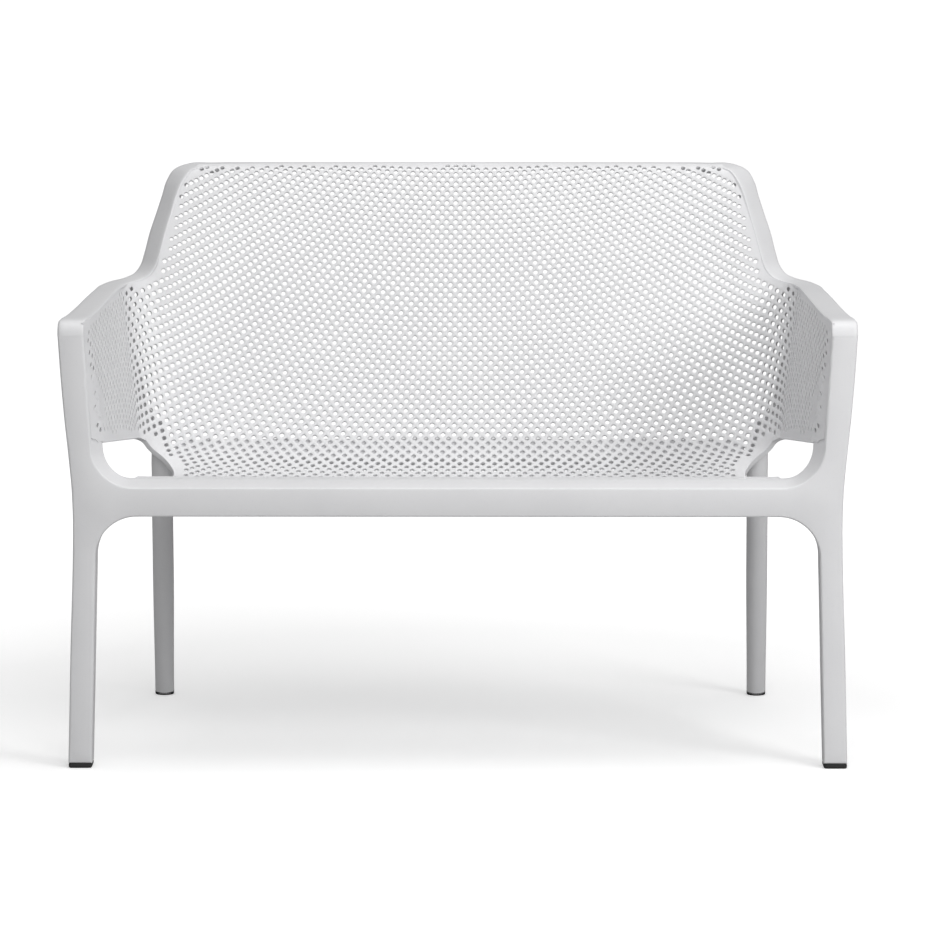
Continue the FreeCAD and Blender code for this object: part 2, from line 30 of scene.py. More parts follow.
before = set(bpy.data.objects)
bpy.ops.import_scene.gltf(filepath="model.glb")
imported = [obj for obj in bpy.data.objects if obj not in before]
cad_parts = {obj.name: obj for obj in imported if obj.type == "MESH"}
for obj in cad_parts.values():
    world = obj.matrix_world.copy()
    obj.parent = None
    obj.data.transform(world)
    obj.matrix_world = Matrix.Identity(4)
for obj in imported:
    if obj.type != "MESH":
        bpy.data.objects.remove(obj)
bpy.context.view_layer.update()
FRONT = -322.5

# ---------------------------------------------------------------- the tub's surface

CORNER = 60.0
CHAIN = [
    (120.0 * math.radians(31.9), 22.0, -9.9), (277.0, -9.9, -9.9), (115.0 * math.radians(69.9), -9.9, 60.0),
    (75.0, 60.0, 67.0), (180.0, 67.0, 74.0), (176.6, 74.0, 66.0), (24.0 * math.radians(66.0), 66.0, 0.0),
    (7.0, 0.0, 0.0),
]
KNOTS = np.concatenate([[0.0], np.cumsum([part[0] for part in CHAIN])])
U_CREST, U_SEAT_BACK, U_BEND_END, U_ROLL, U_END = 43.8, KNOTS[2], KNOTS[3], KNOTS[6], KNOTS[8]
WALL_FRONT = -277.0


def smooth(value):
    """Smooth step from 0 to 1."""
    value = np.clip(value, 0.0, 1.0)
    return value * value * (3 - 2 * value)


def profile(u):
    """Depth, height and slope of the middle profile at length u: a chain of tangent arcs and lines, each of
    which turns from its first slope to its last at an even rate."""
    rest = np.array(u, float)
    y, z = np.full(rest.shape, -319.0), np.full(rest.shape, 413.0)
    slope = np.full(rest.shape, math.radians(CHAIN[0][1]))
    for length, first, last in CHAIN:
        run = np.clip(rest, 0.0, length)
        start, end = math.radians(first), np.radians(first + (last - first) * run / length)
        if first == last:
            y, z = y + run * math.cos(start), z + run * math.sin(start)
        else:
            radius = length / math.radians(last - first)
            y, z = y + radius * (np.sin(end) - math.sin(start)), z - radius * (np.cos(end) - math.cos(start))
        slope = np.where(rest > 0.0, end, slope)
        rest = rest - length
    return y, z, slope


def section(s, u):
    """Sideways distance and inward rise of the U section at length s: a wide arc of the hollow, an arc of the
    corner radius, then a straight arm that leans out by the splay."""
    height = profile(u)[1]
    wall = smooth((u - U_SEAT_BACK) / (U_BEND_END - U_SEAT_BACK))
    seat_half = 497.0 + 0.134 * np.maximum(U_SEAT_BACK - u, 0.0)
    half = (1 - wall) * seat_half + wall * (491.0 + 0.139 * (height - 435.0))
    hollow = 0.4 + 3.6 * smooth((u - U_CREST) / 160.0) + 16.0 * wall
    wide = 440.0 ** 2 / 2 / hollow
    last = math.pi / 2 - np.radians(1.7 + 1.5 * np.clip((665.0 - height) / 225.0, 0.0, 1.0))
    turn = np.arcsin((half - CORNER) / (wide - CORNER))
    size = np.abs(s)
    angle = np.minimum(turn + np.maximum(size - wide * turn, 0.0) / CORNER, last)
    rest = np.maximum(size - wide * turn - CORNER * (last - turn), 0.0)
    on_arc = size < wide * turn
    across = wide * np.sin(turn) + CORNER * (np.sin(angle) - np.sin(turn)) + rest * np.cos(last)
    rise = wide * (1 - np.cos(turn)) + CORNER * (np.cos(turn) - np.cos(angle)) + rest * np.sin(last)
    across = np.where(on_arc, wide * np.sin(size / wide), across)
    return across, np.where(on_arc, wide * (1 - np.cos(size / wide)), rise)


def tub(s, u):
    """Point of the tub's inner face. The section stands up on the seat and lies level on the back, and the
    arm's wall turns out a little more in front of the leg's rear face, to meet the leg's front edge."""
    y, z, slope = profile(u)
    across, rise = section(s, u)
    lift = np.where(u > U_BEND_END, 0.0, math.pi / 2 * (1 - smooth(np.degrees(slope) / 60.0)))
    y, z = y - rise * np.cos(lift), z + rise * np.sin(lift)
    flare = 0.30 - 0.20 * np.clip((z - 474.0) / 176.0, 0.0, 1.0)
    across = across + flare * np.maximum(WALL_FRONT - y, 0.0) * (u > U_BEND_END)
    return np.stack([np.sign(s) * across, y, z], -1)


def tub_normal(s, u):
    """Unit normal towards the sitter, from central differences."""
    u = np.clip(u, 0.6, U_END - 0.6)
    normal = np.cross(tub(s + 0.5, u) - tub(s - 0.5, u), tub(s, u + 0.5) - tub(s, u - 0.5))
    return normal / np.linalg.norm(normal, axis=-1, keepdims=True)


def solve(reading, goal, low, high):
    """Argument at which a rising reading reaches its goal, by halving."""
    high = np.asarray(high, float) + 0 * np.asarray(goal, float)
    low, high = np.broadcast_arrays(np.asarray(low, float), high)
    for _ in range(40):
        middle = (low + high) / 2
        below = reading(middle) < goal
        low, high = np.where(below, middle, low), np.where(below, high, middle)
    return low


def u_at_height(z):
    """Profile length at which the back has that height."""
    return solve(lambda u: profile(u)[1], np.asarray(z, float), U_SEAT_BACK + 25.0, U_END)


def s_at_depth(y, u):
    """Section length at which the wall has that depth."""
    return solve(lambda s: -tub(s, u)[..., 1], -np.asarray(y, float), 300.0, 1100.0)


def through(points, count, guide=None):
    """Smooth curve through points: piecewise cubics with their slopes from the neighbours, read at count
    evenly spread lengths. The lengths are the guide's, where one is given, instead of the curve's own."""
    points = np.asarray(points, float)
    guide = points if guide is None else guide
    length = np.concatenate([[0.0], np.cumsum(np.linalg.norm(np.diff(guide, axis=0), axis=1))])
    slopes = np.gradient(points, length, axis=0)
    at = np.linspace(0.0, length[-1], count)
    k = np.clip(np.searchsorted(length, at, side="right") - 1, 0, len(points) - 2)
    gap = (length[k + 1] - length[k])[:, None]
    t = (at[:, None] - length[k][:, None]) / gap
    return ((2 * t ** 3 - 3 * t ** 2 + 1) * points[k] + (t ** 3 - 2 * t ** 2 + t) * gap * slopes[k]
            + (3 * t ** 2 - 2 * t ** 3) * points[k + 1] + (t ** 3 - t ** 2) * gap * slopes[k + 1])


# ---------------------------------------------------------------- making pieces

def volume_sign(verts, faces):
    """Sign of the closed mesh's signed volume: positive when its faces point outwards."""
    total = 0.0
    for face in faces:
        for k in range(1, face.shape[1] - 1):
            a, b, c = verts[face[:, 0]], verts[face[:, k]], verts[face[:, k + 1]]
            total += float(np.einsum("ij,ij->i", a, np.cross(b, c)).sum())
    return 1.0 if total >= 0 else -1.0


def make_piece(name, verts, faces, material, replaces=(), sharp=38.0, hollow=None):
    """One mesh piece that rides on the bench. faces is a list of index arrays, one per face size. hollow says how
    strongly each vertex takes the painted shade of a hole's wall, a darker tone that stands in for the shade inside
    the holes."""
    if volume_sign(verts, faces) < 0:
        faces = [face[:, ::-1] for face in faces]
    mesh = bpy.data.meshes.new(name)
    counts = np.concatenate([np.full(len(face), face.shape[1]) for face in faces])
    loops = np.concatenate([face.ravel() for face in faces])
    mesh.vertices.add(len(verts))
    mesh.vertices.foreach_set("co", (np.asarray(verts, np.float32) / 1000).ravel())
    mesh.loops.add(len(loops))
    mesh.loops.foreach_set("vertex_index", loops.astype(np.int32))
    mesh.polygons.add(len(counts))
    mesh.polygons.foreach_set("loop_start", np.concatenate([[0], np.cumsum(counts)[:-1]]).astype(np.int32))
    mesh.update(calc_edges=True)
    # The point attribute hollow carries the holes' painted shade to the material.
    if hollow is not None:
        mesh.attributes.new("hollow", "FLOAT", "POINT").data.foreach_set("value", np.asarray(hollow, np.float32))
    mesh.shade_smooth()
    mesh.set_sharp_from_angle(angle=math.radians(sharp))
    mesh.materials.append(material)
    piece = bpy.data.objects.new(name, mesh)
    bpy.context.scene.collection.objects.link(piece)
    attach(piece, "root")
    if replaces:
        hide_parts(*replaces)
    return piece


def strip_faces(ids, around=False):
    """Quads between neighbours of a grid of vertex numbers. around joins the last column to the first."""
    if around:
        ids = np.concatenate([ids, ids[:, :1]], 1)
    return np.stack([ids[:-1, :-1], ids[:-1, 1:], ids[1:, 1:], ids[1:, :-1]], -1).reshape(-1, 4)


def tube_mesh(rings):
    """Closed skin over a row of rings, with a fan on its own middle point at each end."""
    rows, columns = rings.shape[:2]
    ids = np.arange(rows * columns).reshape(rows, columns)
    verts = np.concatenate([rings.reshape(-1, 3), rings[0].mean(0)[None], rings[-1].mean(0)[None]])
    after = np.roll(ids, -1, 1)
    fans = [np.stack([np.full(columns, rows * columns), after[0], ids[0]], 1),
            np.stack([np.full(columns, rows * columns + 1), ids[-1], after[-1]], 1)]
    return verts, [strip_faces(ids, True), np.concatenate(fans)]


def mirrored(verts, faces):
    """The same mesh on the other side of the middle plane."""
    return verts * [-1, 1, 1], [face[:, ::-1] for face in faces]


# ---------------------------------------------------------------- materials

def node_group(name, inputs, outputs):
    """Empty shader group with named sockets, given as (name, type, default)."""
    group = bpy.data.node_groups.new(name, "ShaderNodeTree")
    for direction, sockets in (("INPUT", inputs), ("OUTPUT", outputs)):
        for label, kind, default in sockets:
            socket = group.interface.new_socket(label, in_out=direction, socket_type=kind)
            if default is not None:
                socket.default_value = default
    return group, group.nodes.new("NodeGroupInput"), group.nodes.new("NodeGroupOutput")


def add_node(tree, kind, links=(), **values):
    """Add a node, set its attributes or inputs by name, and link (input, source socket) pairs."""
    node = tree.nodes.new(kind)
    for label, value in values.items():
        if hasattr(node, label):
            setattr(node, label, value)
        else:
            node.inputs[label.replace("_", " ")].default_value = value
    for label, source in links:
        tree.links.new(source, node.inputs[label])
    return node


def mix_colour(tree, factor, first, second):
    """Mix of two colours; each is a socket or a colour."""
    node = tree.nodes.new("ShaderNodeMix")
    node.data_type = "RGBA"
    tree.links.new(factor, node.inputs[0])
    for index, colour in ((6, first), (7, second)):
        if isinstance(colour, tuple):
            node.inputs[index].default_value = colour
        else:
            tree.links.new(colour, node.inputs[index])
    return node.outputs[2]


def ranged(tree, value, low, high, to_low=0.0, to_high=1.0):
    """Map a value from one range to another, clamped."""
    node = add_node(tree, "ShaderNodeMapRange", [("Value", value)])
    for label, number in (("From Min", low), ("From Max", high), ("To Min", to_low), ("To Max", to_high)):
        node.inputs[label].default_value = number
    return node.outputs["Result"]


def grain_group():
    """Moulded grain: fine pebble height, sparse grey specks and slow cloudy variation of tone."""
    group, start, end = node_group("moulded_grain", [("Vector", "NodeSocketVector", None)],
                                   [("Height", "NodeSocketFloat", None), ("Specks", "NodeSocketFloat", None),
                                    ("Cloud", "NodeSocketFloat", None)])
    where = start.outputs["Vector"]
    pebble = add_node(group, "ShaderNodeTexNoise", [("Vector", where)], Scale=900.0, Detail=3.0, Roughness=0.6)
    dots = add_node(group, "ShaderNodeTexVoronoi", [("Vector", where)], Scale=420.0, Randomness=1.0)
    sparse = add_node(group, "ShaderNodeTexNoise", [("Vector", where)], Scale=190.0, Detail=1.0)
    cloud = add_node(group, "ShaderNodeTexNoise", [("Vector", where)], Scale=7.0, Detail=4.0, Roughness=0.55)
    near = ranged(group, dots.outputs["Distance"], 0.14, 0.26, 1.0, 0.0)
    rare = ranged(group, sparse.outputs["Fac"], 0.52, 0.60)
    specks = add_node(group, "ShaderNodeMath", [(0, near), (1, rare)], operation="MULTIPLY")
    group.links.new(pebble.outputs["Fac"], end.inputs["Height"])
    group.links.new(specks.outputs[0], end.inputs["Specks"])
    group.links.new(cloud.outputs["Fac"], end.inputs["Cloud"])
    return group


def dust_group():
    """Garden dust: a mask that is strongest on upward faces and close to the floor, broken up by noise."""
    group, start, end = node_group("garden_dust", [("Vector", "NodeSocketVector", None)],
                                   [("Mask", "NodeSocketFloat", None)])
    where = start.outputs["Vector"]
    facing = add_node(group, "ShaderNodeNewGeometry")
    split = add_node(group, "ShaderNodeSeparateXYZ", [("Vector", facing.outputs["Normal"])])
    place = add_node(group, "ShaderNodeSeparateXYZ", [("Vector", where)])
    up = ranged(group, split.outputs["Z"], 0.6, 1.0, 0.0, 0.5)
    low = ranged(group, place.outputs["Z"], 0.0, 0.12, 1.0, 0.0)
    both = add_node(group, "ShaderNodeMath", [(0, up), (1, low)], operation="MAXIMUM")
    patch = add_node(group, "ShaderNodeTexNoise", [("Vector", where)], Scale=34.0, Detail=6.0, Roughness=0.65)
    broken = ranged(group, patch.outputs["Fac"], 0.35, 0.75)
    mask = add_node(group, "ShaderNodeMath", [(0, both.outputs[0]), (1, broken)], operation="MULTIPLY")
    group.links.new(mask.outputs[0], end.inputs["Mask"])
    return group


GRAIN, DUST = grain_group(), dust_group()
# The holes' walls are set darker than the resin: painted shade, standing in for the shade inside the holes. This is
# a device chosen to match tone: the resin is one colour throughout, and no dirt was seen in its holes.
HOLE_SHADE_TONE, HOLE_SHADE_SHARE = (0.40, 0.40, 0.405, 1.0), 0.85


def new_material(name, roughness_range, base, cloud_tint, speck_tint, dust_tint, dust_share, bump, speck_share):
    """Principled material whose colour, roughness and bump come from the grain, the dust and the painted shade of
    the holes' walls.
    """
    material = bpy.data.materials.new(name)
    material.use_nodes = True
    tree = material.node_tree
    shader = tree.nodes["Principled BSDF"]
    where = add_node(tree, "ShaderNodeTexCoord").outputs["Object"]
    grain, dust = tree.nodes.new("ShaderNodeGroup"), tree.nodes.new("ShaderNodeGroup")
    grain.node_tree, dust.node_tree = GRAIN, DUST
    for group in (grain, dust):
        tree.links.new(where, group.inputs["Vector"])
    cloud = ranged(tree, grain.outputs["Cloud"], 0.3, 0.7)
    colour = mix_colour(tree, cloud, base, cloud_tint)
    specks = ranged(tree, grain.outputs["Specks"], 0.0, 1.0, 0.0, speck_share)
    colour = mix_colour(tree, specks, colour, speck_tint)
    dusty = ranged(tree, dust.outputs["Mask"], 0.0, 1.0, 0.0, dust_share)
    colour = mix_colour(tree, dusty, colour, dust_tint)
    # Painted shade: the attribute hollow mixes in a darker tone on the holes' walls, standing in for the shade
    # inside them.
    hole_shade_attribute = add_node(tree, "ShaderNodeAttribute")
    hole_shade_attribute.attribute_name = "hollow"
    darker = ranged(tree, hole_shade_attribute.outputs["Fac"], 0.0, 1.0, 0.0, HOLE_SHADE_SHARE)
    colour = mix_colour(tree, darker, colour, HOLE_SHADE_TONE)
    tree.links.new(colour, shader.inputs["Base Color"])
    rough = ranged(tree, grain.outputs["Height"], 0.3, 0.7, roughness_range[0], roughness_range[1])
    tree.links.new(rough, shader.inputs["Roughness"])
    relief = add_node(tree, "ShaderNodeBump", [("Height", grain.outputs["Height"])], Strength=bump,
                      Distance=0.0004)
    tree.links.new(relief.outputs["Normal"], shader.inputs["Normal"])
    shader.inputs["IOR"].default_value = 1.49
    return material


RESIN = new_material("white_resin", (0.36, 0.52), (0.735, 0.735, 0.745, 1.0), (0.70, 0.70, 0.712, 1.0),
                     (0.50, 0.50, 0.52, 1.0), (0.60, 0.59, 0.57, 1.0), 0.10, 0.3, 0.22)
RUBBER = new_material("foot_rubber", (0.55, 0.75), (0.012, 0.012, 0.013, 1.0), (0.018, 0.018, 0.019, 1.0),
                      (0.04, 0.04, 0.04, 1.0), (0.06, 0.058, 0.053, 1.0), 0.25, 0.6, 0.3)

# ---------------------------------------------------------------- the pierced net

COLUMN, CORNER_COLUMN, ARM_FOOT = 60.0, 62.0, 520.0
ROW_STEP, ROW_ZERO = 7.80, 702.3
HOLE_HALF, SHEET = 3.65, 4.0
SEAT_ROW, WAIST_ROW, ARM_COLUMN = -38, -8, 68
# Plain strip kept at the seat's front, its side, the arm's lower edge, the arm's front, the rim and the top.
MARGINS = (22.0, 15.0, 13.0, 18.5, 8.3, 8.2)
UNDER_RIM = 2.5


def lattice(c, r):
    """Place (s, u) of a lattice point, with c its column and r its row. Rows are evenly spaced up the middle
    profile; away from the middle they spread by an odd power series and climb by an even one, whose strength
    changes with the row. Past the corner the columns draw apart along the arm, the climb dies away and the
    rows close up towards the arm's lower edge. On the seat the climb fades."""
    size, height = np.abs(c) / COLUMN, np.maximum(r / 30.0, -38.0 / 30.0)
    a = np.minimum(size, CORNER_COLUMN / COLUMN)
    spread = a * (456.7 - 55.5 * height + 5.8 * height ** 2 - 8.8 * height ** 3)
    spread = spread + a ** 3 * (-33.5 + 0.5 * height + 27.5 * height ** 2) + a ** 5 * (8.8 + 35.7 * height)
    climb = a ** 2 * (58.0 + 30.3 * height - 23.0 * height ** 2)
    climb = climb + a ** 4 * (27.8 - 41.9 * height - 9.4 * height ** 2)
    climb = climb + a ** 6 * (-0.2 + 13.1 * height + 25.6 * height ** 2)
    fade = 1 - (1 - smooth((r + 62.0) / 24.0)) * (1 - smooth((np.abs(c) - 54.0) / 8.0))
    u = ROW_ZERO + ROW_STEP * r + climb * fade
    past = np.maximum(np.abs(c) - CORNER_COLUMN, 0.0)
    near = np.minimum(past, 12.4)
    reach = 5.6 * near + 0.45 * near ** 2 + 16.8 * (past - near)
    above = u + 32.4 * (1 - np.exp(-past / 6.0)) - ARM_FOOT
    on_arm = ARM_FOOT + above * (1 - 0.23 * reach / 470.0) + 0.09 * reach
    return np.sign(c) * (spread + reach), np.where(past > 0.0, on_arm, u)


def seat_edge(u):
    """Section length of the seat's side edge."""
    height = profile(u)[1]
    behind = 437.0 + 0.98 * np.maximum(height - 376.0, 0.0)
    return np.where(u <= U_SEAT_BACK, 474.0 - 37.0 * u / U_SEAT_BACK, behind)


# Inner and outer edge of the flat rim, right-hand side: along the arm, round the corner, up the back's side.
RIM = np.array([
    ((538.5, -300.5, 655), (576.5, -300.5, 655)), ((535.0, -240, 656), (572.5, -240, 656)),
    ((531.5, -150, 658), (568.5, -150, 658)), ((528, -20, 661.5), (564.5, -20, 661.5)),
    ((525, 80, 664.5), (560, 84, 664.5)), ((521.5, 150, 666), (555.5, 163, 666)),
    ((513.5, 187, 667), (544, 209, 667.5)), ((500, 204, 669.5), (526, 233, 670.5)),
    ((487, 211.5, 675.5), (511, 245, 677)), ((477.5, 217, 687), (502, 251, 689)),
    ((471, 222, 705), (496.5, 256, 706)), ((462.5, 233.5, 738), (488.5, 268, 738)),
    ((452.5, 247, 773), (477.5, 281.5, 772)), ((445.5, 256.5, 798), (470, 292, 796)),
    ((436, 266.5, 820), (464, 303, 817)), ((423, 276, 836), (453, 311, 834.5)),
    ((402, 285, 841.5), (430, 317.5, 844)), ((370, 291, 842.3), (392, 320, 845)),
    ((300, 296.5, 842.5), (305, 321.5, 845)),
], float)


def rim_places():
    """The rim's inner edge as places (s, u) on the tub, from the arm's front to the top."""
    points = RIM[:16, 0]
    u = u_at_height(points[:, 2])
    s = solve(lambda s: tub(s, u)[:, 0] - tub(s, u)[:, 1], points[:, 0] - points[:, 1],
              np.full(16, 250.0), np.full(16, 1100.0))
    return np.stack([s, u], 1)


def tub_outline():
    """Outline (s, u) of the right half of the pierced tub: seat edge, arm's lower edge, arm's front, rim, top."""
    u_seat = np.linspace(U_CREST - 5.0, float(u_at_height(430.0)), 46)
    seat = np.stack([seat_edge(u_seat), u_seat], 1)
    share = np.linspace(0.0, 1.0, 34)[1:]
    y, z = 84.0 + (-277.0 - 84.0) * share, 437.0 + 37.0 * share
    u_low = u_at_height(z)
    low = np.stack([s_at_depth(y, u_low), u_low], 1)
    z = np.linspace(474.0, 652.0, 18)[1:]
    u_front = u_at_height(z)
    front = np.stack([s_at_depth(-277.0 - 39.0 * smooth((z - 474.0) / 10.0), u_front), u_front], 1)
    rim = through(rim_places(), 90)
    along = np.gradient(rim, axis=0)
    along /= np.linalg.norm(along, axis=1, keepdims=True)
    rim = rim - UNDER_RIM * np.stack([along[:, 1], -along[:, 0]], 1)
    rim = rim[(rim[:, 1] < 934.0) & (rim[:, 0] < front[-1, 0] - 3.0)]
    top_u = 937.0
    top = np.stack([np.linspace(rim[-1, 0] - 12.0, 0.0, 40), np.full(40, top_u)], 1)
    return seat, low, front, rim, top


def polyline_distance(points, line):
    """Smallest distance from each point to a polyline."""
    best = np.full(len(points), 1e9)
    for first, last in zip(line[:-1], line[1:]):
        run = last - first
        t = np.clip(((points - first) @ run) / (run @ run), 0.0, 1.0)
        best = np.minimum(best, np.linalg.norm(points - first - t[:, None] * run, axis=1))
    return best


def inside(points, loop):
    """Whether each point lies inside a closed loop, by counting crossings of a level line."""
    after = np.roll(loop, -1, 0)
    hits = np.zeros(len(points), bool)
    for (x0, y0), (x1, y1) in zip(loop, after):
        if y0 != y1:
            spans = (points[:, 1] > min(y0, y1)) & (points[:, 1] <= max(y0, y1))
            hits ^= spans & (points[:, 0] < x0 + (points[:, 1] - y0) * (x1 - x0) / (y1 - y0))
    return hits


def net_pattern():
    """Holes and margin of the whole net. Returns the kept holes, the places of all points, the margin's
    triangles, and the number of each cell corner among the points."""
    seat, low, front, rim, top = tub_outline()
    half = np.concatenate([seat, low, front, rim, top[:-1]])
    start = np.stack([np.linspace(0.0, seat[0, 0], 50)[:-1], np.full(49, seat[0, 1])], 1)
    right = np.concatenate([start[1:], half])
    left = right[::-1] * [-1, 1]
    loop = np.concatenate([start[:1], right, [[0.0, top[-1, 1]]], left])
    c, r = np.meshgrid(np.arange(-150, 151), np.arange(-100, 31), indexing="ij")
    c, r = c.ravel(), r.ravel()
    places = np.stack(lattice(c.astype(float), r.astype(float)), 1)
    near = inside(places, loop)
    c, r, places = c[near], r[near], places[near]
    folded = np.abs(places) * [1, 0] + places * [0, 1]
    clear = np.full(len(c), 1e9)
    edges = (np.concatenate([start, seat[:1]]), seat, low, front, rim, np.concatenate([rim[-1:], top]))
    for line, margin in zip(edges, MARGINS):
        clear = np.minimum(clear, polyline_distance(folded, line) - margin)
    is_hole = ((c + r) % 2 == 0) & (clear >= 0)
    holes = np.stack([c[is_hole], r[is_hole]], 1)
    kept = {(int(a), int(b)) for a, b in holes}
    corner_ids, corners = {}, []
    for a, b in holes:
        for da, db in ((1, 0), (0, 1), (-1, 0), (0, -1)):
            key = (int(a + da), int(b + db))
            if key not in corner_ids:
                corner_ids[key] = len(corners)
                corners.append(key)
    corners = np.array(corners)
    corner_places = np.stack(lattice(corners[:, 0].astype(float), corners[:, 1].astype(float)), 1)
    to_edge = polyline_distance(folded, np.concatenate([seat, low, front, rim, top]))
    spare = ((c + r) % 2 == 1) & (to_edge > 4.0)
    spare &= (places[:, 1] > U_CREST + 2.0)
    spare_keys = [(int(a), int(b)) for a, b in zip(c[spare], r[spare])]
    extra = [place for key, place in zip(spare_keys, places[spare]) if key not in corner_ids]
    extra = np.array(extra).reshape(-1, 2)
    points = np.concatenate([corner_places, extra, loop])
    first_loop = len(points) - len(loop)
    ring = [(first_loop + k, first_loop + (k + 1) % len(loop)) for k in range(len(loop))]
    sides = set()
    for a, b in kept:
        ids = [corner_ids[(a + da, b + db)] for da, db in ((1, 0), (0, 1), (-1, 0), (0, -1))]
        for k, (da, db) in enumerate(((1, 1), (-1, 1), (-1, -1), (1, -1))):
            if (a + da, b + db) not in kept:
                sides.add((ids[k], ids[(k + 1) % 4]))
    out = delaunay_2d_cdt([Vector(point) for point in points], ring + sorted(sides), [], 0, 1e-5)
    verts, tris = np.array([tuple(v) for v in out[0]]), np.array([f for f in out[2] if len(f) == 3])
    middles = verts[tris].mean(1)
    keep = inside(middles, loop)
    keys = {}
    for index, source in enumerate(out[3]):
        for original in source:
            if original < len(corners):
                keys[index] = tuple(corners[original])
    solid = []
    for index, tri in enumerate(tris):
        if not keep[index]:
            continue
        found = [keys.get(int(v)) for v in tri]
        in_cell = False
        if None not in found:
            a, b = found[0]
            for da, db in ((1, 0), (0, 1), (-1, 0), (0, -1)):
                centre = (a + da, b + db)
                if centre in kept and all(abs(k[0] - centre[0]) + abs(k[1] - centre[1]) == 1 for k in found):
                    in_cell = True
        if not in_cell:
            solid.append(index)
    tris = tris[solid]
    area = np.cross(verts[tris[:, 1]] - verts[tris[:, 0]], verts[tris[:, 2]] - verts[tris[:, 0]])
    tris = np.where((area > 0)[:, None], tris, tris[:, ::-1])
    return holes, verts, tris, {key: index for index, key in keys.items()}


HOLES, NET_VERTS, NET_TRIS, CORNER_INDEX = net_pattern()


RING = 12
WINDOW = ((0.40, 0.0), (0.10, 0.3), (0.0, 0.9), (0.08, SHEET))


def cell_rings(cells, corners):
    """Rings of a hole from the sitter's face to the far face. Each is round about the cell's middle, a little
    flattened towards the cell's sides, no larger than the cell allows, and set into the sheet by its depth."""
    middle = np.stack(lattice(cells[:, 0].astype(float), cells[:, 1].astype(float)), 1)
    arms = corners - middle[:, None]
    after = np.roll(arms, -1, 1)
    room = np.abs(np.cross(arms, after)) / np.linalg.norm(after - arms, axis=2)
    radius = np.minimum(HOLE_HALF, 0.78 * room.min(1))[:, None]
    first = np.arctan2(arms[..., 1], arms[..., 0])
    gap = np.mod(np.roll(first, -1, 1) - first, 2 * math.pi)
    angle = (first[:, :, None] + gap[:, :, None] * np.arange(3) / 3.0).reshape(-1, RING)
    reach = 1 - 0.08 * np.sin(np.arange(RING) * math.pi / 3) ** 2
    rings = []
    for wider, depth in WINDOW:
        size = radius * (1 + wider / HOLE_HALF) * reach
        s, u = middle[:, :1] + size * np.cos(angle), middle[:, 1:] + size * np.sin(angle)
        rings.append(tub(s, u) - depth * tub_normal(s, u))
    return rings


def net_piece(name, cells, tris, replaces=()):
    """One piece of the net. Each hole sits in a diamond cell whose faces run from the diamond to the hole's
    first and last ring, and the hole's wall runs through the rings. The margin is plain sheet, and a wall
    closes the piece wherever no neighbour shares an edge."""
    corners = np.array([[CORNER_INDEX[(a + 1, b)], CORNER_INDEX[(a, b + 1)], CORNER_INDEX[(a - 1, b)],
                         CORNER_INDEX[(a, b - 1)]] for a, b in cells.tolist()])
    used = np.unique(np.concatenate([corners.ravel(), tris.ravel()]))
    number = np.zeros(len(NET_VERTS), int)
    number[used] = np.arange(len(used))
    corners, tris, plain, count = number[corners], number[tris], len(used), len(cells)
    s, u = NET_VERTS[used].T
    inner = tub(s, u)
    rings = cell_rings(cells, NET_VERTS[used][corners])
    verts = np.concatenate([inner, inner - SHEET * tub_normal(s, u)] + [ring.reshape(-1, 3) for ring in rings])
    ids = [2 * plain + (level * count + np.arange(count)[:, None]) * RING + np.arange(RING + 1) % RING
           for level in range(len(rings))]
    quads, triangles = [], [tris, tris[:, ::-1] + plain]
    for ring, far, step in ((ids[0], 0, 1), (ids[-1], plain, -1)):
        for k in range(4):
            a, b = corners[:, k] + far, corners[:, (k + 1) % 4] + far
            p0, p1, p2, p3 = ring[:, 3 * k:3 * k + 4].T
            triangles += [np.stack([a, p1, p0], 1)[:, ::step], np.stack([b, p3, p2], 1)[:, ::step]]
            quads.append(np.stack([a, b, p2, p1], 1)[:, ::step])
    for first, last in zip(ids[:-1], ids[1:]):
        quads.append(np.stack([first[:, :-1], first[:, 1:], last[:, 1:], last[:, :-1]], -1).reshape(-1, 4))
    edges = np.concatenate([shape[:, [k, (k + 1) % shape.shape[1]]] for shape in (tris, corners)
                            for k in range(shape.shape[1])])
    border = edges[~np.isin(edges[:, 0] * plain + edges[:, 1], edges[:, 1] * plain + edges[:, 0])]
    quads.append(np.stack([border[:, 1], border[:, 0], border[:, 0] + plain, border[:, 1] + plain], 1))
    # Painted shade for the holes' walls: a little everywhere and full strength in the arms, where the holes are seen
    # edge-on and their walls lie in shade.
    hollow = np.zeros(len(verts))
    hole_shade_strength = 0.25 + 0.75 * smooth((np.abs(cells[:, 0]) - 54.0) / 8.0)
    hollow[2 * plain + count * RING:] = np.tile(np.repeat(hole_shade_strength, RING), len(rings) - 1)
    faces = [np.concatenate(quads), np.concatenate(triangles)]
    make_piece(name, verts, faces, RESIN, replaces, 50.0, hollow)


